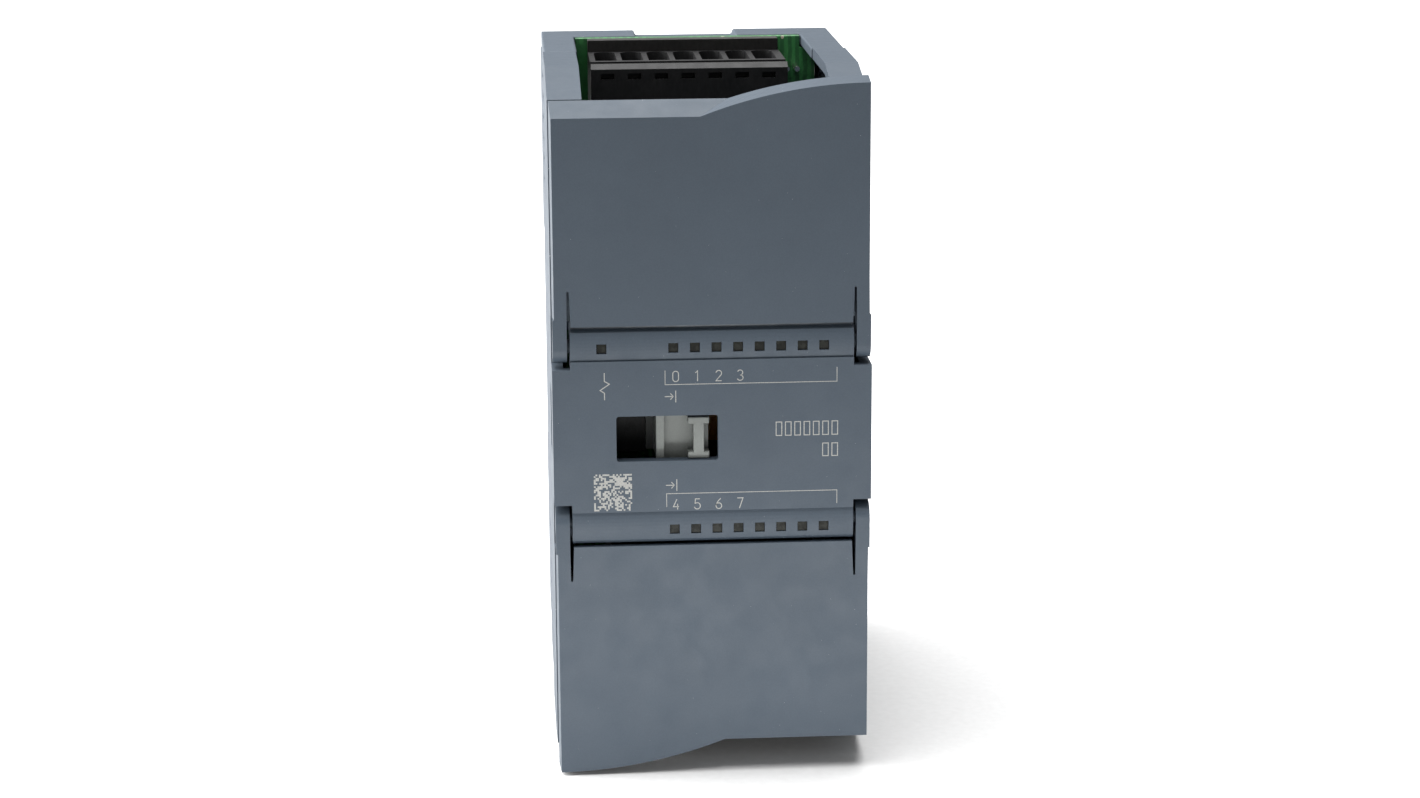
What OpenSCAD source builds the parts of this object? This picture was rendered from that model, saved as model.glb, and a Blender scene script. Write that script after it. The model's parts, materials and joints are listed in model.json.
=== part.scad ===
// Expansion module for a programmable controller, made to sit on a 35 mm rail.
// Frame: +X to the right seen from the front, front face towards -Y, +Z up.
// The origin is the centre of the seat that rests on the front of the rail.
// Inside the modules Y is the depth behind the front face; placed() moves it into the frame.

/* [Body] */
// Overall width, across the centre panel
body_w = 45; // [44:0.5:46]
// Overall height of both shells
body_h = 100; // [99:0.5:101]
// Overall depth, front face to rear plane
body_d = 75; // [75:0.5:77]
// Housing wall thickness
wall = 1.6; // [1.4:0.1:1.7]

/* [Shells] */
// Outside width of the rear shell
rear_w = 44.7; // [44.5:0.1:44.8]
// Outside width of the front shell
front_w = 45; // [44.8:0.1:45]
// Depth of the seam between the two shells
seam_d = 36; // [35.5:0.5:37]
// Depth of the rear edge of the full-height rim
rim_d = 62; // [61:0.5:63]
// Height of the lower section that carries the rail
rear_h = 92; // [90:1:94]

/* [Rail] */
// Width of the rail channel, for a 35 mm rail
channel_w = 35.5; // [35.3:0.1:36]
// Depth of the rail channel
channel_depth = 7.5; // [7.3:0.1:7.5]
// Radius of the panel screw hole in each rail clip
clip_hole_r = 2.15; // [2:0.05:2.25]

/* [Covers] */
// Width of a terminal cover
door_w = 44.7; // [44.4:0.1:44.8]
// Depth of a terminal cover at its hinge end
door_d = 2.5; // [2.3:0.1:2.6]
// Depth of a terminal cover at its swept edge
door_lip_d = 5.2; // [4.9:0.1:5.2]
// Thickness of the cover's front
door_skin = 1.2; // [1:0.1:1.4]
// Radius of the swept top edge of a cover
door_sweep_r = 67; // [64:0.5:70]
// Height of the hinge axis above the centre
hinge_z = 12.8; // [12.6:0.1:12.9]
// Depth of the hinge axis behind the front face
hinge_d = 2.3; // [2.2:0.05:2.4]
// Radius of the hinge pins
hinge_pin_r = 1; // [0.9:0.05:1.1]

/* [Terminals] */
// Terminals in each block
poles = 7; // [6:1:7]
// Distance between terminals
pitch = 4; // [3.81:0.01:4]

/* [Indicators] */
// Indicator windows in each row
lamps = 8; // [4:1:8]
// Distance between indicator windows
lamp_pitch = 3.03; // [2.9:0.01:3.05]
// Side of a square indicator window
lamp_side = 1.4; // [1.2:0.1:1.5]

/* [Hidden] */
$fn = 48;
eps = 0.01;
gap = 0.15;
// pieces that grow out of a side wall start this far inside it
wall_overlap = 0.5;
// cutting shapes run this far past the faces that they open
past = 1;
front_y = channel_depth - body_d;
half_w = body_w / 2;
half_h = body_h / 2;
front_x = front_w / 2;
rear_x = rear_w / 2;
rear_z = rear_h / 2;
channel_z = channel_w / 2;
channel_d = body_d - channel_depth;

// seat: a land between the clips' hooks, with the channel floor relieved outside it
seat_half = 15.8;
seat_relief = 0.4;

// centre panel, indicator strips and the shelves behind them
panel_z = 9.8;
crease_z = 10.95;
panel_skin = 1.8;
strip_z = 15.75;
strip_x = 19.95;
strip_crown = 0.3;
strip_sweep_r = 3.15;
shelf_z = 14.5;
lamp_z = 12.75;
low_lamp_z = 13.6;
lamp_x0 = -5.48;
diag_x = -15.55;
window_low = [-13.6, -3.55];
window_high = [0.75, 3];
window_corner_r = 0.4;
hinge_bore_clearance = 0.05;
ear_pocket_d = 5.3;

// side arms of the front shell: rear part level, front part falling to the cover
arm_level_d = 19;
arm_front_d = [2.8, 5.5];
low_edge_z = 47.1;

// openings over the terminals, a little wider in the front shell
mouth_rear_d = 54.2;
mouth_rear_x = 17.45;
mouth_front_x = 17.65;

// cover outline: low side to the left, high side to the right
door_x = door_w / 2;
door_base_z = 15.95;
door_low = [45.25, 47.05];
door_high = [49.65, 50];
door_steps = 20;
door_rim = 1.3;
door_lip_t = 0.9;
door_front_inset = 0.25;
ear_x = 20.35;
ear_r = 2.3;
slit_top_z = 21;
slit_w = [0.45, 0.55, 0.3];

// circuit boards
board_t = 1.6;
main_board_d = 52.4;
main_board_back_d = main_board_d + board_t;
main_board_size = [39.2, 96.2];
board_tab_z = 49.9;
board_tab_x = 17.25;
front_board_d = 21;
front_board_size = [39.2, 28.6];

// terminal blocks: the outer one of each pair at the board, the inner one in front and nearer the centre
block_x = [-15.45, 13.8];
pole_mid_x = -1;
tier_step_d = 14;
tier_step_z = 16;
plug_front_d = 34.7;
plug_back_d = 50.1;
plug_z = [34.05, 48.1];
header_z = [34.05, 49.9];
header_back_t = 2.2;
cell_w = 3.2;
cell_front_d = 39.5;
cell_floor_z = 38;
screw_z = 40.7;
screw_r = 1.45;
pin_side = 0.8;
pin_z = 35.9;

// bus slider and its connectors
bus_z = [-4.8, 4.1];
bus_d = [10.6, 16.4];
bus_slot_z = [-5.2, 4.5];
bus_slot_d = [10.1, 16.9];
plug_tip_x = -21.4;
slider_x = [-7.9, -0.45];
slider_d = [3, 4.2];
slider_z = [-4.4, 3.7];
bus_contacts = 6;
bus_contact_pitch = 1;

// rail clips
clip_x = -0.15;
clip_w = 14;
clip_tongue = 0.9;
clip_d = [71.7, 74.8];
clip_top_z = 47;
clip_hook_z = 16.2;
clip_hole_z = 43;
clip_pocket_d = 71.5;
clip_rail_d = [72.5, 73.7];
clip_rail_z = [20, 44];
clip_hook_gap = 1.2;
clip_root_x = 3.8;
clip_root_z = 19;
clip_root_pocket_z = 29.5;

// ---------- helpers ----------

module placed() {
    translate([0, front_y, 0])
        children();
}

// The lower half of the module is the upper half after half a turn about the front-to-back axis.
module turned() {
    rotate([0, 180, 0])
        children();
}

module block(low, high) {
    translate(low)
        cube(high - low);
}

// A (depth, height) outline swept along X.
module side_shape(points, x0, x1) {
    translate([x0, 0, 0])
        rotate([90, 0, 90])
            linear_extrude(x1 - x0)
                polygon(points);
}

// An (x, height) outline swept along the depth.
module front_shape(points, d0, d1) {
    translate([0, d1, 0])
        rotate([90, 0, 0])
            linear_extrude(d1 - d0)
                polygon(points);
}

module rod_x(r, x0, x1, d, z) {
    translate([x0, d, z])
        rotate([0, 90, 0])
            cylinder(r = r, h = x1 - x0);
}

module rod_d(r, x, d0, d1, z) {
    translate([x, d1, z])
        rotate([90, 0, 0])
            cylinder(r = r, h = d1 - d0);
}

// Places an upper outer terminal piece in one of the four terminal positions.
module in_bay(lower, inner) {
    rotate([0, lower ? 180 : 0, 0])
        translate([0, inner ? -tier_step_d : 0, inner ? -tier_step_z : 0])
            children();
}

function pole_x(i) = pole_mid_x + (i - (poles - 1) / 2) * pitch;
function lamp_x(i) = lamp_x0 + i * lamp_pitch;

// ---------- rear shell ----------

mouth_overrun_z = half_h + 2;
mouth_start_z = 30;

module rear_mouth() {
    block([-mouth_rear_x, seam_d - past, mouth_start_z], [mouth_rear_x, mouth_rear_d, mouth_overrun_z]);
}

clip_recess_w = 15;
clip_recess_t = 0.75;
clip_recess_slope = 0.3;
clip_boss_x = 9.6;

// Notch in the rim that lets a screwdriver reach the clip's screw hole.
module rim_notch() {
    reach = clip_recess_w / 2;
    front_shape([
        [clip_x - reach, half_h - clip_recess_t],
        [clip_x + reach, half_h - clip_recess_t],
        [clip_x + reach + clip_recess_slope, half_h + eps],
        [clip_x - reach - clip_recess_slope, half_h + eps]
    ], mouth_rear_d - past, rim_d + past);
}

module clip_pocket() {
    reach = clip_w / 2 + gap;
    groove = reach + clip_tongue;
    root = clip_root_x + gap;
    block([clip_x - reach, clip_pocket_d, channel_z - past], [clip_x + reach, body_d + past, rear_z + past]);
    block([clip_x - groove, clip_rail_d[0] - gap, channel_z - past],
          [clip_x + groove, clip_rail_d[1] + gap, rear_z + past]);
    block([clip_x - root, channel_d + past, channel_z - past],
          [clip_x + root, clip_pocket_d + past, clip_root_pocket_z]);
}

vent_count = 6;
vent_pitch = 3.2;
vent_z0 = 27.5;
vent_d = [45, 57];
vent_t = 1.2;
catch_z = [18, 24];
catch_d = [40, 42];

module side_vents() {
    for (i = [0 : vent_count - 1])
        block([-rear_x - past, vent_d[0], vent_z0 + i * vent_pitch],
              [rear_x + past, vent_d[1], vent_z0 + i * vent_pitch + vent_t]);
    block([-rear_x - past, catch_d[0], catch_z[0]], [rear_x + past, catch_d[1], catch_z[1]]);
}

board_rib_x = 18.3;
board_rib_z = [19, 26];

module rear_half_cuts() {
    inside_x = rear_x - wall;
    deep_z = channel_z + wall;
    // cavities beside the clip guide
    block([-inside_x, rim_d - 2, deep_z], [clip_x - clip_boss_x, body_d - wall, rear_z - wall]);
    block([clip_x + clip_boss_x, rim_d - 2, deep_z], [inside_x, body_d - wall, rear_z - wall]);
    block([-rear_x - past, channel_d - seat_relief, seat_half], [rear_x + past, channel_d + past, channel_z]);
    clip_pocket();
    rear_mouth();
    rim_notch();
    side_vents();
}

module rear_housing() {
    inside_x = rear_x - wall;
    color("slategray") placed() {
        difference() {
            union() {
                block([-rear_x, seam_d, -half_h], [rear_x, rim_d, half_h]);
                block([-rear_x, rim_d - past, -rear_z], [rear_x, body_d, rear_z]);
            }
            block([-inside_x, seam_d - past, wall - half_h], [inside_x, rim_d - wall, half_h - wall]);
            block([-inside_x, rim_d - wall - past, wall - rear_z],
                  [inside_x, channel_d - wall, rear_z - wall]);
            block([-rear_x - past, channel_d, -channel_z], [rear_x + past, body_d + past, channel_z]);
            rear_half_cuts();
            turned()
                rear_half_cuts();
        }
        // ribs that the main board rests against
        for (turn = [0, 180], side = [0, 1])
            rotate([0, turn, 0])
                mirror([side, 0, 0])
                    block([board_rib_x, main_board_back_d, board_rib_z[0]],
                          [inside_x + wall_overlap, rim_d - wall_overlap, board_rib_z[1]]);
    }
}

// ---------- front shell ----------

// Side outline of the front shell. A positive inset gives the cavity, open at the front and the seam.
function arm_outline(inset) =
    let (open = inset > 0 ? past : 0, low = low_edge_z - inset, high = half_h - inset)
    [
        [arm_front_d[0] - open, -door_base_z],
        [arm_front_d[1] - open, -low],
        [arm_level_d, -high],
        [seam_d + open, -high],
        [seam_d + open, high],
        [arm_level_d, high],
        [arm_front_d[1] - open, low],
        [arm_front_d[0] - open, door_base_z]
    ];

module front_mouth() {
    block([-mouth_front_x, 0, mouth_start_z], [mouth_front_x, seam_d + past, mouth_overrun_z]);
}

strip_steps = 8;
strip_round_steps = 6;
strip_face_end_z = 15.05;

// Section of the indicator strip and its shelf: a shallow crown, then the round edge the cover swings past.
strip_mid_z = (crease_z + strip_face_end_z) / 2;
strip_half = (strip_face_end_z - crease_z) / 2;
round_from = asin((strip_face_end_z - hinge_z) / strip_sweep_r);
round_to = asin((strip_z - hinge_z) / strip_sweep_r);
strip_section = concat(
    [for (i = [0 : strip_steps])
        let (z = crease_z + i * (strip_face_end_z - crease_z) / strip_steps)
        [strip_crown * pow((z - strip_mid_z) / strip_half, 2), z]],
    [for (i = [0 : strip_round_steps])
        let (a = round_from + i * (round_to - round_from) / strip_round_steps)
        [hinge_d - strip_sweep_r * cos(a) + 0.2, hinge_z + strip_sweep_r * sin(a)]],
    [[seam_d, strip_z], [seam_d, shelf_z], [panel_skin + 0.4, shelf_z], [panel_skin, panel_z - 0.5],
     [0, panel_z - 0.5], [0, crease_z]]
);

hinge_boss_x = 17.6;
hinge_boss_d = [1, 5];
pin_tip_x = 18.75;
pin_end_gap = 0.2;

module strip_half_solid() {
    side_shape(strip_section, -strip_x, strip_x);
    for (side = [0, 1])
        mirror([side, 0, 0])
            block([hinge_boss_x, hinge_boss_d[0], panel_z], [strip_x, hinge_boss_d[1], shelf_z + 1]);
    // the shelf closes against the side walls behind the hinge pockets
    block([-front_x + wall_overlap, ear_pocket_d, shelf_z], [front_x - wall_overlap, seam_d, strip_z]);
}

post_x = [rear_x - wall - 2.1, rear_x - wall - gap];
post_z = [28, 32];
post_front_d = 30;
catch_post_z = [catch_z[0] + 0.5, catch_z[1] - 0.5];
catch_hook_d = [catch_d[0] + 0.2, catch_d[1] - 0.2];
catch_bite = 1;

// A post that holds the main board down, and a catch that locks the shells together.
module post_and_catch() {
    post(post_z, main_board_d);
    post(catch_post_z, catch_d[1] + 0.5);
    block([post_x[0], catch_hook_d[0], catch_post_z[0]],
          [post_x[1] + catch_bite, catch_hook_d[1], catch_post_z[1]]);
}

// A post rooted in the side wall of the front shell that reaches back to the given depth.
module post(z, end_d) {
    block([post_x[0], post_front_d, z[0]], [front_x - wall_overlap, seam_d, z[1]]);
    block([post_x[0], seam_d - past, z[0]], [post_x[1], end_d, z[1]]);
}

// Room for the ears of a cover, and the bores that its hinge pins turn in.
module ear_pockets() {
    for (side = [0, 1])
        mirror([side, 0, 0]) {
            block([strip_x, -past, panel_z], [half_w + past, ear_pocket_d, strip_z + 1]);
            rod_x(hinge_pin_r + hinge_bore_clearance, pin_tip_x - pin_end_gap, strip_x + eps,
                  hinge_d, hinge_z);
        }
}

lamp_hole_d = 6;

module lamp_hole(x, z) {
    half = lamp_side / 2;
    block([x - half, -past, z - half], [x + half, lamp_hole_d, z + half]);
}

module lamp_windows() {
    lamp_hole(diag_x, lamp_z);
    for (i = [0 : lamps - 1], z = [lamp_z, -low_lamp_z])
        lamp_hole(lamp_x(i), z);
}

slider_rail_t = 1;
slider_rail_x = 14;
slider_rail_d = 6;
slot_wall = 1;

module front_housing() {
    inside_x = front_x - wall;
    color("slategray") placed() {
        difference() {
            union() {
                difference() {
                    union() {
                        side_shape(arm_outline(0), -front_x, front_x);
                        block([-half_w, 0, -panel_z], [half_w, arm_front_d[0] + 1, panel_z]);
                    }
                    side_shape(arm_outline(wall), -inside_x, inside_x);
                    front_mouth();
                    turned()
                        front_mouth();
                }
                for (turn = [0, 180])
                    rotate([0, turn, 0]) {
                        strip_half_solid();
                        post_and_catch();
                        mirror([1, 0, 0])
                            post_and_catch();
                    }
                // rails that guide the bus slider
                block([-inside_x, panel_skin - eps, slider_z[1] + gap],
                      [slider_rail_x, slider_rail_d, slider_z[1] + gap + slider_rail_t]);
                block([-inside_x, panel_skin - eps, slider_z[0] - gap - slider_rail_t],
                      [slider_rail_x, slider_rail_d, slider_z[0] - gap]);
            }
            ear_pockets();
            turned()
                ear_pockets();
            lamp_windows();
            translate([0, panel_skin + past, 0])
                rotate([90, 0, 0])
                    linear_extrude(panel_skin + 2 * past)
                        rounded_window();
            // side slots for the bus connectors
            for (side = [0, 1])
                mirror([side, 0, 0])
                    block([inside_x - slot_wall, bus_slot_d[0], bus_slot_z[0]],
                          [half_w + past, bus_slot_d[1], bus_slot_z[1]]);
        }
    }
}

module rounded_window() {
    r = window_corner_r;
    translate(window_low + [r, 0])
        square(window_high - window_low - [2 * r, 0]);
    translate(window_low + [0, r])
        square(window_high - window_low - [0, 2 * r]);
    for (x = [window_low[0] + r, window_high[0] - r], z = [window_low[1] + r, window_high[1] - r])
        translate([x, z])
            circle(r, $fn = 24);
}

// ---------- terminal covers ----------

// Height of the cover's edge above x, for an outline with the given low edge and crest.
function sweep_z(x, crest, r) = crest - r + sqrt(r * r - pow(door_x - x, 2));
function kink_x(low, crest, r) = door_x - sqrt(2 * r * (crest - low) - pow(crest - low, 2));

// Closed outline of a cover: base corners, low edge, then the swept edge in equal steps.
function door_outline(side, base, low, crest) =
    let (kink = kink_x(low, crest, door_sweep_r))
    concat(
        [[side, base], [-side, base], [-side, low]],
        [for (i = [0 : door_steps])
            let (x = kink + i * (side - kink) / door_steps)
            [x, sweep_z(x, crest, door_sweep_r)]]
    );

// Depth of the cover's back, a plane that leans back from the hinge end to the swept edge.
function door_back_d(z) = door_d + (z - door_base_z) * (door_lip_d - door_d) / (half_h - door_base_z);

module door_shell() {
    front = door_outline(door_x - door_front_inset, door_base_z, door_low[0], door_high[0]);
    back = door_outline(door_x, door_base_z, door_low[1], door_high[1]);
    n = len(front);
    sides = [for (i = [0 : n - 1])
        let (j = (i + 1) % n)
        each [[i, j + n, j], [i, i + n, j + n]]];
    // both caps are fans from the first base corner, which every edge of the outline faces
    polyhedron(
        points = concat([for (p = front) [p[0], 0, p[1]]], [for (p = back) [p[0], door_back_d(p[1]), p[1]]]),
        faces = concat([for (i = [1 : n - 2]) [0, i, i + 1]], sides,
                       [for (i = [1 : n - 2]) [n, n + i + 1, n + i]])
    );
}

door_rib_x = 9;
door_rib_t = 0.8;

// Slit beside an ear, tapering towards its end.
slit_section = [
    [ear_x - slit_w[0], hinge_z - 3],
    [ear_x, hinge_z - 3],
    [ear_x, door_base_z],
    [ear_x - 0.05, slit_top_z],
    [ear_x - 0.05 - slit_w[2], slit_top_z],
    [ear_x - slit_w[1], door_base_z]
];

module upper_door_shape() {
    hollow = door_outline(door_x - door_rim, slit_top_z + 1,
                          door_low[0] - door_lip_t, door_high[0] - door_lip_t);
    hollow_back_d = door_lip_d + past;
    hollow_x = ear_x - 0.5;
    difference() {
        union() {
            difference() {
                door_shell();
                front_shape(hollow, door_skin, hollow_back_d);
                block([-hollow_x, door_skin, door_base_z - past], [hollow_x, hollow_back_d, slit_top_z + 2]);
            }
            for (x = [-door_rib_x, door_rib_x])
                block([x - door_rib_t / 2, door_skin - eps, slit_top_z + 2],
                      [x + door_rib_t / 2, door_d - 0.2, door_low[0] - door_lip_t + eps]);
            for (side = [0, 1])
                mirror([side, 0, 0]) {
                    rod_x(ear_r, ear_x, door_x, hinge_d, hinge_z);
                    block([ear_x, 0, hinge_z], [door_x, door_d, door_base_z + 1]);
                }
        }
        for (side = [0, 1])
            mirror([side, 0, 0])
                front_shape(slit_section, -past, hollow_back_d);
    }
    for (side = [0, 1])
        mirror([side, 0, 0])
            rod_x(hinge_pin_r, pin_tip_x, ear_x + 0.5, hinge_d, hinge_z);
}

module upper_door() {
    color("slategray") placed()
        upper_door_shape();
}

module lower_door() {
    color("slategray") placed()
        turned()
            upper_door_shape();
}

// ---------- rail clips ----------

spring_x = [2.6, 3.4];
spring_z = [22, 33];
spring_cut = 0.8;
driver_slot = [5, 1.7];
driver_slot_z = 35.5;

module rail_clip() {
    reach = clip_w / 2;
    front_d = clip_d[0] - past;
    back_d = clip_d[1] + past;
    color("dimgray") placed()
        difference() {
            union() {
                block([clip_x - reach, clip_d[0], clip_hook_z], [clip_x + reach, clip_d[1], clip_top_z]);
                block([clip_x - reach - clip_tongue, clip_rail_d[0], clip_rail_z[0]],
                      [clip_x + reach + clip_tongue, clip_rail_d[1], clip_rail_z[1]]);
                block([clip_x - clip_root_x, channel_d + clip_hook_gap, clip_hook_z],
                      [clip_x + clip_root_x, clip_d[1], clip_root_z]);
            }
            rod_d(clip_hole_r, clip_x, front_d, back_d, clip_hole_z);
            // slits that free the spring tongue
            for (side = [-1, 1])
                translate([clip_x + side * (spring_x[0] + spring_x[1]) / 2, 0, 0])
                    block([-spring_cut / 2, front_d, spring_z[0]], [spring_cut / 2, back_d, spring_z[1]]);
            block([clip_x - spring_x[1], front_d, spring_z[1] - spring_cut],
                  [clip_x + spring_x[1], back_d, spring_z[1]]);
            // slot for a screwdriver tip
            block([clip_x - driver_slot[0] / 2, front_d, driver_slot_z],
                  [clip_x + driver_slot[0] / 2, back_d, driver_slot_z + driver_slot[1]]);
        }
}

module upper_rail_clip() {
    rail_clip();
}

module lower_rail_clip() {
    turned()
        rail_clip();
}

// ---------- terminal blocks ----------

tower_z = [34.6, 37.3];
tower_reach = 4.4;
tower_gap = 0.1;
tower_inset = 1;

// Header: a back plate on the board and a tower that carries the pins into the plug.
module header_shape(board_gap) {
    color([0.09, 0.09, 0.1]) placed()
        difference() {
            union() {
                block([block_x[0], main_board_d - header_back_t, header_z[0]],
                      [block_x[1] - 0.1, main_board_d + board_gap, header_z[1]]);
                block([block_x[0] + tower_inset, main_board_d - header_back_t - tower_reach, tower_z[0]],
                      [block_x[1] - tower_inset, main_board_d, tower_z[1]]);
            }
            for (i = [0 : poles - 1])
                block([pole_x(i) - pin_side / 2, 0, pin_z - pin_side / 2],
                      [pole_x(i) + pin_side / 2, body_d, pin_z + pin_side / 2]);
        }
}

pin_front_d = 43.2;
solder_reach = 1.2;

module header_pins_shape(board_gap) {
    pin_back_d = main_board_back_d + solder_reach + board_gap;
    color("gold") placed()
        for (i = [0 : poles - 1])
            block([pole_x(i) - pin_side / 2, pin_front_d, pin_z - pin_side / 2],
                  [pole_x(i) + pin_side / 2, pin_back_d, pin_z + pin_side / 2]);
}

plug_chamfer = 0.7;
groove_d = [36, 38.3];
groove_t = 0.9;
probe_z = [45.9, 46.75];
probe_w = 2;
probe_depth = 1.6;
cell_back_t = 0.4;
chamber_x = 0.8;
chamber_reach_z = 0.7;
contact_w = 1.3;
contact_t = 0.2;
contact_d = [42, 45.6];

module plug_cell(i) {
    x = pole_x(i);
    round_d = plug_back_d - cell_back_t - cell_w / 2;
    top_z = plug_z[1] + past;
    chamber_d = contact_d[0] - contact_t - 0.2;
    // wire entry, round at the back
    block([x - cell_w / 2, cell_front_d, cell_floor_z], [x + cell_w / 2, round_d, top_z]);
    translate([x, round_d, cell_floor_z])
        cylinder(d = cell_w, h = top_z - cell_floor_z, $fn = 32);
    rod_d(screw_r + 0.2, x, plug_front_d - past, cell_front_d + past, screw_z);
    block([x - probe_w / 2, plug_front_d - past, probe_z[0]],
          [x + probe_w / 2, plug_front_d + probe_depth, probe_z[1]]);
    // chamber for the contact, open into the wire cell
    block([x - chamber_x, chamber_d, pin_z - chamber_reach_z],
          [x + chamber_x, plug_back_d, pin_z + chamber_reach_z]);
    block([x - chamber_x, chamber_d, pin_z], [x + chamber_x, pin_front_d + 0.6, cell_floor_z + past]);
}

module plug_shape() {
    side_gap = tower_inset - tower_gap;
    socket_front_d = plug_back_d - tower_reach - 2 * tower_gap;
    color([0.09, 0.09, 0.1]) placed()
        difference() {
            side_shape([
                [plug_front_d, plug_z[0]],
                [plug_back_d, plug_z[0]],
                [plug_back_d, plug_z[1]],
                [plug_front_d + plug_chamfer, plug_z[1]],
                [plug_front_d, plug_z[1] - plug_chamfer]
            ], block_x[0], block_x[1]);
            block([block_x[0] - past, groove_d[0], plug_z[1] - groove_t],
                  [block_x[1] + past, groove_d[1], plug_z[1] + past]);
            // room for the header's tower
            block([block_x[0] + side_gap, socket_front_d, tower_z[0] - tower_gap],
                  [block_x[1] - side_gap, plug_back_d + past, tower_z[1] + tower_gap]);
            for (i = [0 : poles - 1])
                plug_cell(i);
        }
}

screw_head_d = [35.3, 36.6];
screw_tip_d = 41.4;
screw_shank_r = 1.1;
screw_slot = [0.5, 0.7];

module plug_screws_shape() {
    color("silver") placed()
        for (i = [0 : poles - 1])
            difference() {
                union() {
                    rod_d(screw_r, pole_x(i), screw_head_d[0], screw_head_d[1], screw_z);
                    rod_d(screw_shank_r, pole_x(i), screw_head_d[0], screw_tip_d, screw_z);
                }
                block([pole_x(i) - screw_slot[0] / 2, screw_head_d[0] - past, screw_z - screw_r - past],
                      [pole_x(i) + screw_slot[0] / 2, screw_head_d[0] + screw_slot[1],
                       screw_z + screw_r + past]);
            }
}

clamp_d = [39.8, 45.5];
clamp_z = [38.3, 43];
clamp_x = 1.5;
clamp_t = 0.6;

// Wire cage: a box open at top and bottom, threaded for the screw in its front wall.
module plug_clamps_shape() {
    color("silver") placed()
        for (i = [0 : poles - 1])
            difference() {
                block([pole_x(i) - clamp_x, clamp_d[0], clamp_z[0]],
                      [pole_x(i) + clamp_x, clamp_d[1], clamp_z[1]]);
                block([pole_x(i) - clamp_x + clamp_t, clamp_d[0] + clamp_t, clamp_z[0] - past],
                      [pole_x(i) + clamp_x - clamp_t, clamp_d[1] - clamp_t, clamp_z[1] + past]);
                rod_d(screw_shank_r + 0.05, pole_x(i), clamp_d[0] - past, screw_tip_d + 0.3, screw_z);
            }
}

// Sheet contact: a fork round the pin and a tail that rises into the wire cell.
module plug_contacts_shape() {
    color("gold") placed()
        for (i = [0 : poles - 1]) {
            x = pole_x(i);
            reach = contact_w / 2;
            // leaves above and below the pin
            for (z = [pin_z + pin_side / 2, pin_z - pin_side / 2 - contact_t])
                block([x - reach, contact_d[0], z], [x + reach, contact_d[1], z + contact_t]);
            block([x - reach, contact_d[0] - contact_t, pin_z - pin_side / 2 - contact_t],
                  [x + reach, contact_d[0], cell_floor_z + contact_t]);
        }
}

// ---------- boards ----------

// half the side of the holes for the header pins
board_hole = 0.5;
board_tab_root_z = 40;

module board_pin_holes(inner) {
    shift = inner ? tier_step_z : 0;
    for (i = [0 : poles - 1])
        block([pole_x(i) - board_hole, 0, pin_z - shift - board_hole],
              [pole_x(i) + board_hole, body_d, pin_z - shift + board_hole]);
}

module main_board() {
    color("darkgreen") placed()
        difference() {
            union() {
                block([-main_board_size[0] / 2, main_board_d, -main_board_size[1] / 2],
                      [main_board_size[0] / 2, main_board_back_d, main_board_size[1] / 2]);
                for (turn = [0, 180])
                    rotate([0, turn, 0])
                        block([-board_tab_x, main_board_d, board_tab_root_z],
                              [board_tab_x, main_board_back_d, board_tab_z]);
            }
            for (turn = [0, 180], inner = [false, true])
                rotate([0, turn, 0])
                    board_pin_holes(inner);
        }
}

link_x0 = 0;
link_pitch = 2.54;
link_cols = 5;
link_pin = 0.64;
link_hole = 0.4;
link_socket_front_d = 43.6;
link_socket_floor = 1.2;
link_pin_front_d = 20.2;
link_pin_back_d = 50;
link_header_back_d = front_board_d + board_t + 2.5;
link_margin = 1.4;
link_z = [-link_pitch / 2, link_pitch / 2];

function link_x(i) = link_x0 + i * link_pitch;

module link_pin_places() {
    for (i = [0 : link_cols - 1], z = link_z)
        translate([link_x(i), 0, z])
            children();
}

module front_board() {
    color("darkgreen") placed()
        difference() {
            block([-front_board_size[0] / 2, front_board_d, -front_board_size[1] / 2],
                  [front_board_size[0] / 2, front_board_d + board_t, front_board_size[1] / 2]);
            link_pin_places()
                block([-link_hole, front_board_d - past, -link_hole],
                      [link_hole, front_board_d + board_t + past, link_hole]);
        }
}

module link_body(d0, d1, hole_end_d) {
    difference() {
        block([link_x(0) - link_margin, d0, link_z[0] - link_margin],
              [link_x(link_cols - 1) + link_margin, d1, link_z[1] + link_margin]);
        link_pin_places()
            block([-link_pin / 2, d0 - past, -link_pin / 2], [link_pin / 2, hole_end_d, link_pin / 2]);
    }
}

module link_socket() {
    color([0.1, 0.1, 0.1]) placed()
        link_body(link_socket_front_d, main_board_d, main_board_d - link_socket_floor);
}

module link_header() {
    color([0.1, 0.1, 0.1]) placed()
        link_body(front_board_d + board_t, link_header_back_d, link_header_back_d + past);
}

module link_pins() {
    color("gold") placed()
        link_pin_places()
            block([-link_pin / 2, link_pin_front_d, -link_pin / 2],
                  [link_pin / 2, link_pin_back_d, link_pin / 2]);
}

// ---------- indicators ----------

pipe_side = lamp_side - 0.1;
pipe_front_d = 0.35;
pipe_back_d = 20;
pipe_bar_d = [9, 10.5];
pipe_bar_t = 0.8;
pipe_bar_reach = 1.5;

module light_pipe(x, z) {
    half = pipe_side / 2;
    block([x - half, pipe_front_d, z - half], [x + half, pipe_back_d, z + half]);
}

module light_pipe_row(z) {
    low = z - pipe_side / 2;
    for (i = [0 : lamps - 1])
        light_pipe(lamp_x(i), z);
    block([lamp_x(0) - pipe_bar_reach, pipe_bar_d[0], low - pipe_bar_t],
          [lamp_x(lamps - 1) + pipe_bar_reach, pipe_bar_d[1], low + eps]);
}

module upper_light_pipes() {
    color([0.8, 0.82, 0.8]) placed()
        light_pipe_row(lamp_z);
}

// The lower row lights the same columns as the upper row, so it is mirrored, not turned.
module lower_light_pipes() {
    color([0.8, 0.82, 0.8]) placed()
        mirror([0, 0, 1])
            light_pipe_row(low_lamp_z);
}

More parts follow.
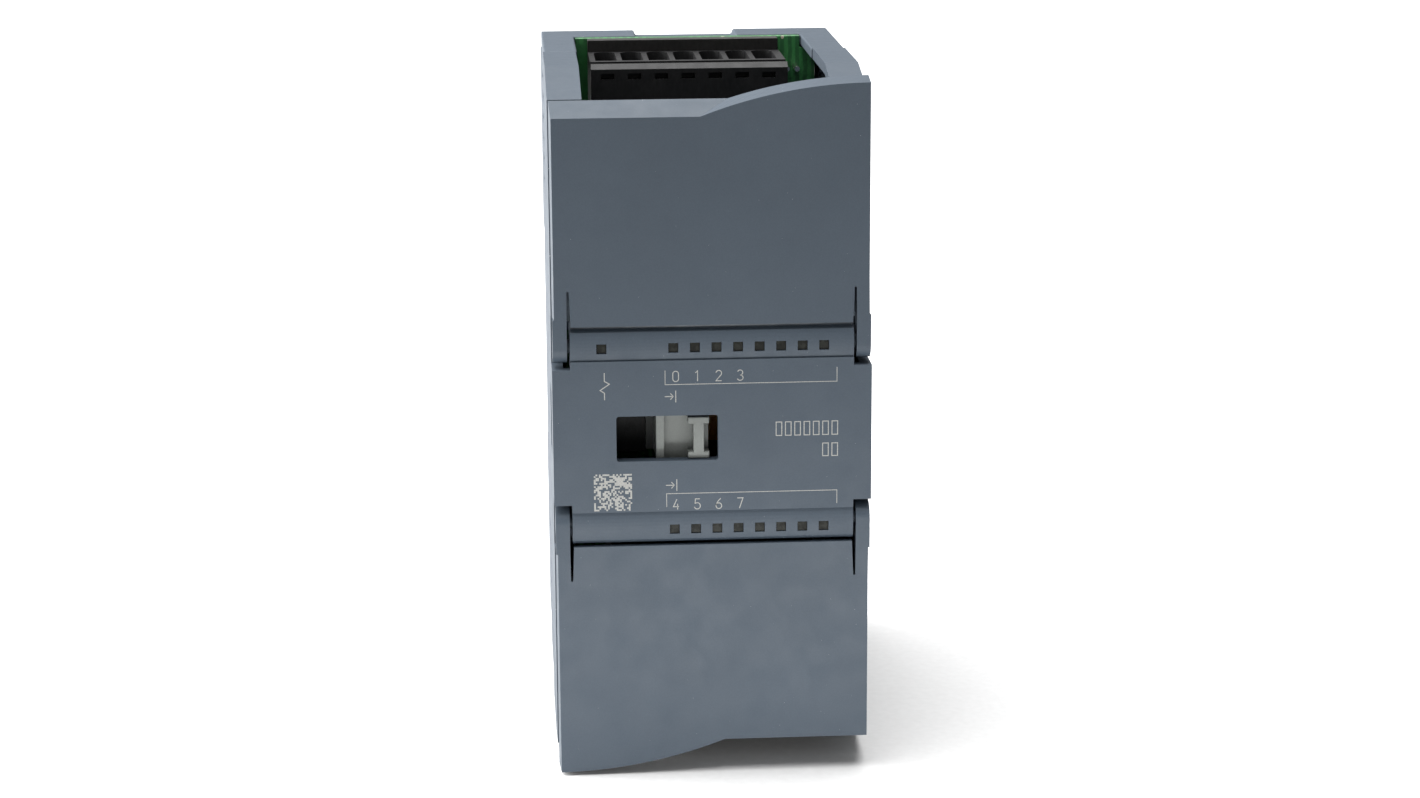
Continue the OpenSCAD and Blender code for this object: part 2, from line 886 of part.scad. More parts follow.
module diag_light_pipe() {
    color([0.8, 0.82, 0.8]) placed()
        light_pipe(diag_x, lamp_z);
}

led_t = 0.7;
led_side = 1.2;

module led_chip(x, z) {
    half = led_side / 2;
    block([x - half, front_board_d - led_t, z - half], [x + half, front_board_d, z + half]);
}

module status_leds() {
    color("white") placed() {
        led_chip(diag_x, lamp_z);
        for (i = [0 : lamps - 1], z = [lamp_z, -low_lamp_z])
            led_chip(lamp_x(i), z);
    }
}

// ---------- sliding bus connector ----------

grip_x = [-3.45, -0.45];
grip_z = [-3.45, 2.5];
grip_front_d = 0.8;
grip_flange = 0.95;
grip_web = 1.5;
rib_x = [-7.9, -6.8];
carrier_x = [-9, -5.5];

// A rib on the front of the slider's plate.
module slider_rib(x, z, front_d) {
    block([x[0], front_d, z[0]], [x[1], slider_d[0] + eps, z[1]]);
}

module bus_slider() {
    grip_mid = (grip_x[0] + grip_x[1]) / 2;
    web_x = [grip_mid - grip_web / 2, grip_mid + grip_web / 2];
    color([0.62, 0.63, 0.6]) placed() {
        block([slider_x[0], slider_d[0], slider_z[0]], [slider_x[1], slider_d[1], slider_z[1]]);
        slider_rib(rib_x, [slider_z[0], slider_z[1]], panel_skin + 0.2);
        slider_rib(grip_x, [grip_z[0], grip_z[0] + grip_flange], grip_front_d);
        slider_rib(grip_x, [grip_z[1] - grip_flange, grip_z[1]], grip_front_d);
        slider_rib(web_x, grip_z, grip_front_d);
        // web and carrier that push the plug
        block([slider_x[0], slider_d[1] - eps, slider_z[0]], [carrier_x[1], bus_d[0], slider_z[1]]);
        block([carrier_x[0], bus_d[0] - 0.5, slider_z[0]], [carrier_x[1], bus_d[1], slider_z[1]]);
    }
}

plug_key = 1;
plug_mouth_t = 1;
plug_mouth_x = plug_tip_x + 7;
bus_contact_side = 0.5;
bus_contact_t = 0.25;

function bus_contact_z(i) = (bus_z[0] + bus_z[1]) / 2 + (i - (bus_contacts - 1) / 2) * bus_contact_pitch;

// Two facing rows of contacts, the first on the surface at the lower of two depths.
module bus_contact_rows(x, d) {
    half = bus_contact_side / 2;
    for (i = [0 : bus_contacts - 1], row_d = [d[0], d[1] - bus_contact_t])
        block([x[0], row_d, bus_contact_z(i) - half], [x[1], row_d + bus_contact_t, bus_contact_z(i) + half]);
}

module bus_plug() {
    color([0.12, 0.12, 0.12]) placed()
        difference() {
            block([plug_tip_x, bus_d[0], bus_z[0]], [carrier_x[0], bus_d[1], bus_z[1]]);
            // mouth for the neighbour's tongue
            block([plug_tip_x - past, bus_d[0] + plug_mouth_t, bus_z[0] + plug_key],
                  [plug_mouth_x, bus_d[1] - plug_mouth_t, bus_z[1] - plug_key]);
        }
}

module bus_plug_contacts() {
    color("gold") placed()
        bus_contact_rows([plug_tip_x + 0.8, plug_mouth_x],
                         [bus_d[0] + plug_mouth_t, bus_d[1] - plug_mouth_t]);
}

flex_t = 0.3;
flex_loop_x = 5;
flex_d = [13.2, 18.4];
flex_end_x = -2;
flex_z = [slider_z[0] + 0.4, slider_z[1] - 0.4];

// Flat cable: forward run from the carrier, a half-round loop, and a run back to the board connector.
module bus_flex() {
    mid_d = (flex_d[0] + flex_d[1]) / 2;
    loop_r = (flex_d[1] - flex_d[0]) / 2;
    height = flex_z[1] - flex_z[0];
    color("darkorange") placed() {
        block([carrier_x[1] + 2 * eps, flex_d[0], flex_z[0]], [flex_loop_x, flex_d[0] + flex_t, flex_z[1]]);
        block([flex_end_x, flex_d[1] - flex_t, flex_z[0]], [flex_loop_x, flex_d[1], flex_z[1]]);
        translate([flex_loop_x, mid_d, flex_z[0]])
            difference() {
                cylinder(r = loop_r, h = height);
                translate([0, 0, -past])
                    cylinder(r = loop_r - flex_t, h = height + 2 * past);
                translate([-2 * loop_r, -2 * loop_r, -past])
                    cube([2 * loop_r, 4 * loop_r, height + 2 * past]);
            }
    }
}

flex_connector_w = 3.5;
flex_connector_reach = 1.2;
flex_connector_rim = 0.7;

module flex_connector() {
    color("ivory") placed()
        block([flex_end_x - flex_connector_w, flex_d[1] - flex_connector_reach,
               flex_z[0] - flex_connector_rim],
              [flex_end_x, front_board_d, flex_z[1] + flex_connector_rim]);
}

socket_x = [12, 21.9];
socket_gap = 0.05;
socket_wall = 0.45;
socket_floor_x = socket_x[0] + 1;
socket_foot_x = socket_x[0] + 6;
tongue_tip_x = socket_x[1] - 2.5;
tongue_gap = 0.35;

module bus_socket() {
    color([0.12, 0.12, 0.12]) placed()
        difference() {
            union() {
                block([socket_x[0], bus_slot_d[0] + socket_gap, bus_slot_z[0] + socket_gap],
                      [socket_x[1], bus_slot_d[1] - socket_gap, bus_slot_z[1] - socket_gap]);
                // foot on the front board
                block([socket_x[0], bus_slot_d[1] - 2 * socket_gap, bus_slot_z[0] + socket_wall],
                      [socket_foot_x, front_board_d, bus_slot_z[1] - socket_wall]);
            }
            difference() {
                block([socket_floor_x, bus_slot_d[0] + socket_wall, bus_slot_z[0] + socket_wall],
                      [socket_x[1] + past, bus_slot_d[1] - socket_wall, bus_slot_z[1] - socket_wall]);
                // tongue that enters the neighbour's plug
                block([socket_x[0], bus_d[0] + plug_mouth_t + tongue_gap, bus_z[0] + plug_key + tongue_gap],
                      [tongue_tip_x, bus_d[1] - plug_mouth_t - tongue_gap, bus_z[1] - plug_key - tongue_gap]);
            }
        }
}

module bus_socket_contacts() {
    surface = plug_mouth_t + tongue_gap - bus_contact_t;
    color("gold") placed()
        bus_contact_rows([socket_floor_x, tongue_tip_x - 0.5], [bus_d[0] + surface, bus_d[1] - surface]);
}

// ---------- parts on the boards ----------

// A chip package on the front of the main board, by its centre and its width, height and thickness.
module chip(x, z, size) {
    block([x - size[0] / 2, main_board_d - size[2], z - size[1] / 2],
          [x + size[0] / 2, main_board_d, z + size[1] / 2]);
}

controller_at = [-11.5, 2];
controller_size = [10, 10, 1.2];

module microcontroller() {
    color([0.13, 0.13, 0.14]) placed()
        chip(controller_at[0], controller_at[1], controller_size);
}

// The chip on the back of the front board.
interface_low = [-15, front_board_d + board_t, -3];
interface_size = [7, 1, 7];

module interface_chip() {
    color([0.13, 0.13, 0.14]) placed()
        block(interface_low, interface_low + interface_size);
}

converter_x = [2, 11];
converter_z = 8.5;
converter_size = [6.5, 4.4, 1];

module converter_chips() {
    color([0.13, 0.13, 0.14]) placed()
        for (x = converter_x)
            chip(x, converter_z, converter_size);
}

isolator_x = [-12, -4, 4, 12];
isolator_z = -9.5;
isolator_size = [5, 4, 1.6];

module isolators() {
    color([0.13, 0.13, 0.14]) placed()
        for (x = isolator_x)
            chip(x, isolator_z, isolator_size);
}

transformer_low = [-6.5, main_board_back_d, -14];
transformer_size = [13, 9.5, 11];
transformer_notch = 1.5;
transformer_rim = [2.25, 2.6];

module transformer() {
    low = transformer_low;
    high = low + transformer_size;
    color("saddlebrown") placed()
        difference() {
            block(low, high);
            // hollows beside the winding
            for (x = [low[0] - past, high[0] - transformer_notch])
                block([x, low[1] + transformer_rim[0], low[2] + transformer_rim[1]],
                      [x + transformer_notch + past, high[1] - transformer_rim[0],
                       high[2] - transformer_rim[1]]);
        }
}

inductor_at = [12.5, -7];
inductor_r = 5;
inductor_t = 5.5;
inductor_dimple_r = 1.2;

module power_inductor() {
    back_d = main_board_back_d + inductor_t;
    color([0.25, 0.25, 0.25]) placed()
        difference() {
            rod_d(inductor_r, inductor_at[0], main_board_back_d, back_d, inductor_at[1]);
            rod_d(inductor_dimple_r, inductor_at[0], back_d - 1, back_d + past, inductor_at[1]);
        }
}

capacitor_x = [-13, -3, 7];
capacitor_z = 10;
capacitor_r = 4;
capacitor_t = 10.5;

module capacitors() {
    color("midnightblue") placed()
        for (x = capacitor_x)
            rod_d(capacitor_r, x, main_board_back_d, main_board_back_d + capacitor_t, capacitor_z);
}

crystal_at = [-15, 11.5];
crystal_size = [5, 3.2, 1.2];

module crystal() {
    color("silver") placed()
        chip(crystal_at[0], crystal_at[1], crystal_size);
}

probe_pin_x = [14.95, 16.5];
probe_pin_z = 45.35;
probe_pin_r = 0.4;
probe_pin_reach = 4.4;

module probe_pins() {
    color("silver") placed()
        for (x = probe_pin_x)
            rod_d(probe_pin_r, x, main_board_d - probe_pin_reach, main_board_d, probe_pin_z);
}

// ---------- assembly ----------

rear_housing();
front_housing();
upper_door();
lower_door();
upper_rail_clip();
lower_rail_clip();
in_bay(false, false) header_shape(0);  // upper_outer_header
in_bay(false, true) header_shape(tier_step_d);  // upper_inner_header
in_bay(true, false) header_shape(0);  // lower_outer_header
in_bay(true, true) header_shape(tier_step_d);  // lower_inner_header
in_bay(false, false) header_pins_shape(0);  // upper_outer_header_pins
in_bay(false, true) header_pins_shape(tier_step_d);  // upper_inner_header_pins
in_bay(true, false) header_pins_shape(0);  // lower_outer_header_pins
in_bay(true, true) header_pins_shape(tier_step_d);  // lower_inner_header_pins
in_bay(false, false) plug_shape();  // upper_outer_plug
in_bay(false, true) plug_shape();  // upper_inner_plug
in_bay(true, false) plug_shape();  // lower_outer_plug
in_bay(true, true) plug_shape();  // lower_inner_plug
in_bay(false, false) plug_screws_shape();  // upper_outer_screws
in_bay(false, true) plug_screws_shape();  // upper_inner_screws
in_bay(true, false) plug_screws_shape();  // lower_outer_screws
in_bay(true, true) plug_screws_shape();  // lower_inner_screws
in_bay(false, false) plug_clamps_shape();  // upper_outer_clamps
in_bay(false, true) plug_clamps_shape();  // upper_inner_clamps
in_bay(true, false) plug_clamps_shape();  // lower_outer_clamps
in_bay(true, true) plug_clamps_shape();  // lower_inner_clamps
in_bay(false, false) plug_contacts_shape();  // upper_outer_contacts
in_bay(false, true) plug_contacts_shape();  // upper_inner_contacts
in_bay(true, false) plug_contacts_shape();  // lower_outer_contacts
in_bay(true, true) plug_contacts_shape();  // lower_inner_contacts
main_board();
front_board();
link_socket();
link_header();
link_pins();
upper_light_pipes();
lower_light_pipes();
diag_light_pipe();
status_leds();
bus_slider();
bus_plug();
bus_plug_contacts();
bus_flex();
flex_connector();
bus_socket();
bus_socket_contacts();
microcontroller();
interface_chip();
converter_chips();
isolators();
transformer();
power_inductor();
capacitors();
crystal();
probe_pins();
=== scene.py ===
"""Looks for the rail-mounted expansion module: materials, softened edges, printed marks, camera and light."""
import json
import math
import random

import bmesh
import bpy
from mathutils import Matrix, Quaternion, Vector


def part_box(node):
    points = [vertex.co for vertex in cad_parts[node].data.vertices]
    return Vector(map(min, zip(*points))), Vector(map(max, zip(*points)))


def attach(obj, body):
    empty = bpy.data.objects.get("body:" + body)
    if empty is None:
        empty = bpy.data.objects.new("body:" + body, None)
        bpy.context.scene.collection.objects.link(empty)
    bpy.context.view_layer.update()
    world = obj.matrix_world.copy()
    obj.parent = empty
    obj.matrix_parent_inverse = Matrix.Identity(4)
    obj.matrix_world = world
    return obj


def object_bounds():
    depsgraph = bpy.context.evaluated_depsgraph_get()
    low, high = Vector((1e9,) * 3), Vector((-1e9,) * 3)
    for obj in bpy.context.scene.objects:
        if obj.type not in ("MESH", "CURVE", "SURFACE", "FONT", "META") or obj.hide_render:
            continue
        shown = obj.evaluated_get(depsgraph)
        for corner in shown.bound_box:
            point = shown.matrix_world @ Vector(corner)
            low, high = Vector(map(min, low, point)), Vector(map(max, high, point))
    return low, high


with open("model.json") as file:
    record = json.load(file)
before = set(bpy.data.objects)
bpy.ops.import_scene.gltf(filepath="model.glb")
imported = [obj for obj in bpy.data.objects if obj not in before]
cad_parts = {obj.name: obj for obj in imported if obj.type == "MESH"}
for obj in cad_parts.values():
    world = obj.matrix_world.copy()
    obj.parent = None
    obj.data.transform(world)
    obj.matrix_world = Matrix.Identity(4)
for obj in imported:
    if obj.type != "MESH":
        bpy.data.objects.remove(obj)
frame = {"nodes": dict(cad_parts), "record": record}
cad_box = [list(corner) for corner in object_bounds()]
NODES = frame["nodes"]
MM = 0.001

FRONT_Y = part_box("front_housing")[0].y
FLOOR_Z = cad_box[0][2]


# ---------- node helpers ----------

class Graph:
    """A material's node tree, with short calls for the nodes used here."""

    def __init__(self, name):
        self.material = bpy.data.materials.new(name)
        self.material.use_nodes = True
        self.tree = self.material.node_tree
        self.tree.nodes.clear()
        self.out = self.tree.nodes.new("ShaderNodeOutputMaterial")
        self.shader = self.tree.nodes.new("ShaderNodeBsdfPrincipled")
        self.link(self.shader.outputs["BSDF"], self.out.inputs["Surface"])
        self.where = self.tree.nodes.new("ShaderNodeTexCoord").outputs["Object"]

    def link(self, a, b):
        self.tree.links.new(a, b)

    def set(self, **values):
        for key, value in values.items():
            self.shader.inputs[key.replace("_", " ")].default_value = value

    def mapped(self, scale):
        node = self.tree.nodes.new("ShaderNodeMapping")
        node.inputs["Scale"].default_value = scale
        self.link(self.where, node.inputs["Vector"])
        return node.outputs["Vector"]

    def noise(self, size_mm, detail=2.0, rough=0.5, stretch=(1, 1, 1)):
        node = self.tree.nodes.new("ShaderNodeTexNoise")
        node.inputs["Scale"].default_value = 1.0
        node.inputs["Detail"].default_value = detail
        node.inputs["Roughness"].default_value = rough
        per_metre = 1.0 / (size_mm * MM)
        self.link(self.mapped([per_metre * s for s in stretch]), node.inputs["Vector"])
        return node.outputs["Fac"]

    def cells(self, size_mm):
        node = self.tree.nodes.new("ShaderNodeTexVoronoi")
        node.inputs["Scale"].default_value = 1.0
        per_metre = 1.0 / (size_mm * MM)
        self.link(self.mapped([per_metre] * 3), node.inputs["Vector"])
        return node.outputs["Distance"], node.outputs["Color"]

    def ramp(self, fac, stops):
        node = self.tree.nodes.new("ShaderNodeValToRGB")
        while len(node.color_ramp.elements) > 1:
            node.color_ramp.elements.remove(node.color_ramp.elements[0])
        first, *rest = stops
        node.color_ramp.elements[0].position = first[0]
        node.color_ramp.elements[0].color = rgba(first[1])
        for position, colour in rest:
            node.color_ramp.elements.new(position).color = rgba(colour)
        self.link(fac, node.inputs["Fac"])
        return node.outputs["Color"]

    def mix(self, fac, a, b):
        node = self.tree.nodes.new("ShaderNodeMix")
        node.data_type = "RGBA"
        node.blend_type = "MIX"
        for socket, value in ((node.inputs["Factor"], fac), (node.inputs["A"], a), (node.inputs["B"], b)):
            if isinstance(value, bpy.types.NodeSocket):
                self.link(value, socket)
            else:
                socket.default_value = value if isinstance(value, float) else rgba(value)
        return node.outputs["Result"]

    def math(self, kind, a, b):
        node = self.tree.nodes.new("ShaderNodeMath")
        node.operation = kind
        for socket, value in ((node.inputs[0], a), (node.inputs[1], b)):
            if isinstance(value, bpy.types.NodeSocket):
                self.link(value, socket)
            else:
                socket.default_value = value
        return node.outputs["Value"]

    def bump(self, height, distance_mm, strength=1.0, under=None):
        node = self.tree.nodes.new("ShaderNodeBump")
        node.inputs["Strength"].default_value = strength
        node.inputs["Distance"].default_value = distance_mm * MM
        self.link(height, node.inputs["Height"])
        if under is not None:
            self.link(under, node.inputs["Normal"])
        return node.outputs["Normal"]

    def normal(self, socket):
        self.link(socket, self.shader.inputs["Normal"])

    def colour(self, socket):
        self.link(socket, self.shader.inputs["Base Color"])

    def rough(self, fac, low, high):
        grey = self.ramp(fac, [(0.3, [low] * 3), (0.7, [high] * 3)])
        self.link(grey, self.shader.inputs["Roughness"])


def rgba(colour):
    values = list(colour)
    return values + [1.0] if len(values) == 3 else values


def scaled(colour, k):
    return [c * k for c in colour]


# ---------- materials ----------

def moulded_plastic(name, base, rough=(0.5, 0.62), grain_mm=0.22, grain_depth_mm=0.012, specks=0.0):
    """Matt moulding: a spark-eroded grain, faint flow marks and, where asked, pale dust specks."""
    g = Graph(name)
    g.set(Specular_IOR_Level=0.3)
    cloud = g.noise(14.0, 3.0)
    fine = g.noise(grain_mm, 3.0, 0.6)
    tint = g.ramp(cloud, [(0.3, scaled(base, 0.95)), (0.7, scaled(base, 1.05))])
    tint = g.mix(0.35, tint, g.ramp(fine, [(0.35, scaled(base, 0.86)), (0.65, scaled(base, 1.14))]))
    if specks:
        distance, cell = g.cells(1.3)
        size = g.ramp(cell, [(0.0, [0.02] * 3), (0.6, [0.03] * 3), (1.0, [0.075] * 3)])
        dot = g.math("LESS_THAN", distance, size)
        tint = g.mix(g.math("MULTIPLY", dot, specks), tint, [0.55, 0.56, 0.56])
    g.colour(tint)
    g.rough(g.noise(3.0, 3.0), *rough)
    g.normal(g.bump(fine, grain_depth_mm, 0.5, under=g.bump(g.noise(30.0, 1.0), 0.05, 0.25)))
    return g.material


def satin_black(name, base=(0.008, 0.008, 0.0085), grain_mm=0.35):
    """Glass-filled black plastic of connectors and terminal blocks."""
    g = Graph(name)
    g.set(Specular_IOR_Level=0.25)
    fibre = g.noise(grain_mm, 4.0, 0.65, (1.0, 1.0, 0.35))
    g.colour(g.ramp(fibre, [(0.3, scaled(base, 0.75)), (0.7, scaled(base, 1.5))]))
    g.rough(g.noise(1.6, 3.0), 0.34, 0.5)
    g.normal(g.bump(fibre, 0.01, 0.6))
    return g.material


def plated_metal(name, base, rough=(0.22, 0.4), brush=(1.0, 1.0, 1.0)):
    """Plated sheet or turned metal with fine drawn lines and dull patches."""
    g = Graph(name)
    g.set(Metallic=1.0)
    lines = g.noise(0.12, 2.0, 0.5, brush)
    patch = g.noise(1.3, 3.0)
    g.colour(g.mix(0.5, g.ramp(patch, [(0.3, scaled(base, 0.8)), (0.7, base)]),
                   g.ramp(lines, [(0.3, scaled(base, 0.85)), (0.7, scaled(base, 1.08))])))
    g.rough(patch, *rough)
    g.normal(g.bump(lines, 0.004, 0.5))
    return g.material


def circuit_board(name):
    """Green solder mask over copper: track bundles, plated vias and the weave of the laminate."""
    g = Graph(name)
    g.set(Specular_IOR_Level=0.5, Coat_Weight=0.35, Coat_Roughness=0.2)
    mask, track = [0.012, 0.085, 0.022], [0.03, 0.17, 0.045]
    weave = g.noise(0.3)
    bundle = g.tree.nodes.new("ShaderNodeTexWave")
    bundle.wave_type = "BANDS"
    bundle.bands_direction = "X"
    bundle.inputs["Scale"].default_value = 1.0
    bundle.inputs["Distortion"].default_value = 1.2
    bundle.inputs["Detail"].default_value = 1.0
    g.link(g.mapped([260.0, 260.0, 260.0]), bundle.inputs["Vector"])
    lines = g.ramp(bundle.outputs["Fac"], [(0.46, [0, 0, 0]), (0.54, [1, 1, 1])])
    patch = g.ramp(g.noise(7.0, 1.0), [(0.45, [0, 0, 0]), (0.5, [1, 1, 1])])
    copper = g.math("MULTIPLY", lines, patch)
    green = g.mix(copper, mask, track)
    green = g.mix(0.3, green, g.ramp(weave, [(0.3, scaled(mask, 0.8)), (0.7, scaled(mask, 1.5))]))
    distance, _ = g.cells(3.4)
    via = g.math("LESS_THAN", distance, 0.085)
    green = g.mix(via, green, [0.35, 0.33, 0.25])
    g.colour(green)
    g.rough(weave, 0.3, 0.42)
    g.normal(g.bump(copper, 0.02, 0.5, under=g.bump(weave, 0.006, 0.3)))
    return g.material


def smoky_clear(name):
    """Clear light pipe seen end-on, given a near-black, faintly green base colour: painted shade for the dark
    depth seen through the clear pipe, with a soft haze.
    """
    g = Graph(name)
    g.set(Specular_IOR_Level=0.12, IOR=1.49)
    haze = g.noise(0.9, 2.0)
    # Painted shade: the near-black base colour stands in for the dark depth seen through the clear pipe.
    g.colour(g.ramp(haze, [(0.3, [0.004, 0.0045, 0.0035]), (0.7, [0.016, 0.017, 0.014])]))
    g.rough(haze, 0.16, 0.34)
    g.normal(g.bump(g.noise(0.5, 2.0), 0.01, 0.4))
    return g.material


def printed_ink(name):
    """Pale laser marking: slightly uneven cover, matt."""
    g = Graph(name)
    g.set(Specular_IOR_Level=0.2)
    cover = g.noise(0.18, 3.0, 0.7)
    g.colour(g.ramp(cover, [(0.25, [0.15, 0.155, 0.15]), (0.6, [0.27, 0.27, 0.255])]))
    g.rough(cover, 0.6, 0.75)
    g.normal(g.bump(cover, 0.004, 0.5))
    return g.material


def floor_paper(name):
    """Pale seamless studio paper."""
    g = Graph(name)
    g.set(Specular_IOR_Level=0.1)
    tooth = g.noise(1.2, 3.0)
    g.colour(g.ramp(tooth, [(0.3, [0.49, 0.49, 0.49]), (0.7, [0.52, 0.52, 0.52])]))
    g.rough(tooth, 0.85, 0.95)
    g.normal(g.bump(tooth, 0.02, 0.3))
    return g.material


HOUSING = [0.033, 0.045, 0.0595]
INK = printed_ink("printed_ink")
MATERIALS = {
    "housing_plastic": moulded_plastic("housing_plastic", HOUSING, specks=0.4),
    "clip_plastic": moulded_plastic("clip_plastic", [0.05, 0.062, 0.075]),
    "header_plastic": satin_black("header_plastic", (0.01, 0.0095, 0.009)),
    "terminal_plastic": satin_black("terminal_plastic"),
    "connector_plastic": satin_black("connector_plastic", (0.009, 0.009, 0.01), 0.25),
    "zinc_screw": plated_metal("zinc_screw", [0.62, 0.62, 0.60], brush=(1, 0.3, 1)),
    "tin_clamp": plated_metal("tin_clamp", [0.66, 0.66, 0.64]),
    "contact_metal": plated_metal("contact_metal", [0.78, 0.62, 0.30], (0.18, 0.3)),
    "circuit_board": circuit_board("circuit_board"),
    "light_pipe": smoky_clear("light_pipe"),
    "led_body": moulded_plastic("led_body", [0.75, 0.75, 0.66], (0.25, 0.35), 0.1, 0.003),
    "slider_plastic": moulded_plastic("slider_plastic", [0.12, 0.129, 0.122], (0.38, 0.5), 0.3, 0.008),
    "flex_film": moulded_plastic("flex_film", [0.42, 0.17, 0.035], (0.25, 0.35), 0.8, 0.004),
    "ivory_plastic": moulded_plastic("ivory_plastic", [0.66, 0.60, 0.46], (0.35, 0.45)),
    "chip_body": moulded_plastic("chip_body", [0.02, 0.02, 0.022], (0.5, 0.65), 0.08, 0.004),
    "transformer_body": moulded_plastic("transformer_body", [0.06, 0.04, 0.028], (0.4, 0.55)),
    "ferrite": moulded_plastic("ferrite", [0.035, 0.035, 0.037], (0.45, 0.6), 0.15, 0.02),
    "capacitor_sleeve": moulded_plastic("capacitor_sleeve", [0.015, 0.022, 0.06], (0.2, 0.3), 0.6, 0.004),
    "bright_metal": plated_metal("bright_metal", [0.82, 0.81, 0.78], (0.12, 0.25)),
}


# ---------- CAD nodes: materials and softened edges ----------

# Edge radius of each slot's pieces, in millimetres.
EDGE_MM = {
    "housing_plastic": 0.22,
    "clip_plastic": 0.2,
    "header_plastic": 0.12,
    "terminal_plastic": 0.14,
    "connector_plastic": 0.1,
    "slider_plastic": 0.14,
    "tin_clamp": 0.06,
    "zinc_screw": 0.06,
    "chip_body": 0.06,
    "circuit_board": 0.05,
    "light_pipe": 0.05,
}
EDGE_ANGLE = math.radians(28)
# Slots whose pieces keep their own faces, since merging them would lose a hollow.
UNFLATTENED = ("slider_plastic",)


def soften(obj, width_mm, flatten):
    """Rounds an object's hard edges with modifiers, which leave its mesh as it is."""
    weld = obj.modifiers.new("weld", "WELD")
    weld.merge_threshold = 0.002 * MM
    if flatten:
        flat = obj.modifiers.new("flat", "DECIMATE")
        flat.decimate_type = "DISSOLVE"
        flat.angle_limit = math.radians(0.5)
    bevel = obj.modifiers.new("bevel", "BEVEL")
    bevel.width = width_mm * MM
    bevel.segments = 2
    bevel.limit_method = "ANGLE"
    bevel.angle_limit = EDGE_ANGLE
    bevel.use_clamp_overlap = True


def dress_cad():
    slots = {s["node"]: s["material_slot"] for s in frame["record"]["subparts"]}
    for name, obj in NODES.items():
        slot = slots[name]
        obj.data.materials.clear()
        obj.data.materials.append(MATERIALS[slot])
        if slot in EDGE_MM:
            soften(obj, EDGE_MM[slot], slot not in UNFLATTENED)
        for face in obj.data.polygons:
            face.use_smooth = False


dress_cad()


# ---------- printed marks on the centre panel ----------

# Ink in millimetres: height over the panel's face, depth under it, and widths of the strokes.
INK_T = 0.012
INK_SUNK = 0.004
STROKE = 0.13
BRACKET_STROKE = 0.1


def make_mark(name, bm):
    """Turns a bmesh into a piece of printed ink that rides on the housing."""
    mesh = bpy.data.meshes.new(name)
    bmesh.ops.recalc_face_normals(bm, faces=bm.faces)
    bm.to_mesh(mesh)
    bm.free()
    obj = bpy.data.objects.new(name, mesh)
    bpy.context.scene.collection.objects.link(obj)
    mesh.materials.append(INK)
    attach(obj, "housing")


def ink_plate(bm, outline):
    """A closed plate of ink on the panel's face, from an (x, z) outline in millimetres."""
    y_back, y_front = FRONT_Y + INK_SUNK * MM, FRONT_Y - INK_T * MM
    back = [bm.verts.new((x * MM, y_back, z * MM)) for x, z in outline]
    front = [bm.verts.new((x * MM, y_front, z * MM)) for x, z in outline]
    bm.faces.new(back)
    bm.faces.new(reversed(front))
    n = len(outline)
    for i in range(n):
        j = (i + 1) % n
        bm.faces.new((back[i], back[j], front[j], front[i]))


def stroke_prism(bm, points, width=STROKE, closed=False):
    """A ribbon of even width along a polyline, as a thin plate on the panel's face."""
    pts = [Vector(p) for p in points]
    n = len(pts)
    left, right = [], []
    for i, p in enumerate(pts):
        before = pts[i - 1] if (i or closed) else None
        after = pts[(i + 1) % n] if (i < n - 1 or closed) else None
        a = (p - before).normalized() if before is not None else (after - p).normalized()
        b = (after - p).normalized() if after is not None else a
        side = Vector((-(a + b).y, (a + b).x))
        side.normalize()
        half = width / 2 / max(0.5, math.sqrt((1 + a.dot(b)) / 2))
        left.append(p + side * half)
        right.append(p - side * half)
    for i in range(n if closed else n - 1):
        j = (i + 1) % n
        ink_plate(bm, [left[i], left[j], right[j], right[i]])


def arc(cx, cz, rx, rz, start, end, steps=8):
    return [(cx + rx * math.cos(math.radians(start + (end - start) * i / steps)),
             cz + rz * math.sin(math.radians(start + (end - start) * i / steps))) for i in range(steps + 1)]


# Single-stroke numerals in a cell 0.8 wide and 1.5 high, drawn from lines and arcs.
DIGITS = {
    "0": [arc(0.4, 1.1, 0.4, 0.4, 0, 180) + arc(0.4, 0.4, 0.4, 0.4, 180, 360) + [(0.8, 1.1)]],
    "1": [[(0.15, 1.2), (0.45, 1.5), (0.45, 0)]],
    "2": [arc(0.4, 1.1, 0.4, 0.4, 170, -35) + [(0, 0), (0.8, 0)]],
    "3": [arc(0.38, 1.13, 0.37, 0.37, 160, -90, 9) + arc(0.38, 0.38, 0.42, 0.38, 90, -160, 9)],
    "4": [[(0.5, 1.5), (0, 0.42), (0.8, 0.42)], [(0.6, 0.85), (0.6, 0)]],
    "5": [[(0.75, 1.5), (0.1, 1.5), (0.05, 0.85)] + arc(0.36, 0.47, 0.44, 0.47, 110, -160, 9)],
    "6": [[(0.66, 1.5), (0.34, 1.18), (0.1, 0.8)] + arc(0.4, 0.42, 0.4, 0.42, 170, 530, 16)],
    "7": [[(0, 1.5), (0.8, 1.5), (0.3, 0)]],
}


DIGIT_W = 0.8
DIGIT_H = 1.5


def draw_digit(bm, digit, x, z):
    """Draws a numeral centred on (x, z)."""
    for line in DIGITS[digit]:
        stroke_prism(bm, [(x - DIGIT_W / 2 + px, z - DIGIT_H / 2 + pz) for px, pz in line])


LAMPS = 8
LAMP_PITCH = 3.03
LED_HALF = 0.6


def lamp_x(i):
    """Centre of an indicator window, from the box of the LEDs behind the windows."""
    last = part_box("status_leds")[1].x / MM - LED_HALF
    return last - (LAMPS - 1 - i) * LAMP_PITCH


def bracket(bm, x0, x1, z_bar, z_ends):
    """Thin line that spans a group of indicators, with an upright at each end."""
    stroke_prism(bm, [(x0, z_ends), (x0, z_bar), (x1, z_bar), (x1, z_ends)], BRACKET_STROKE)


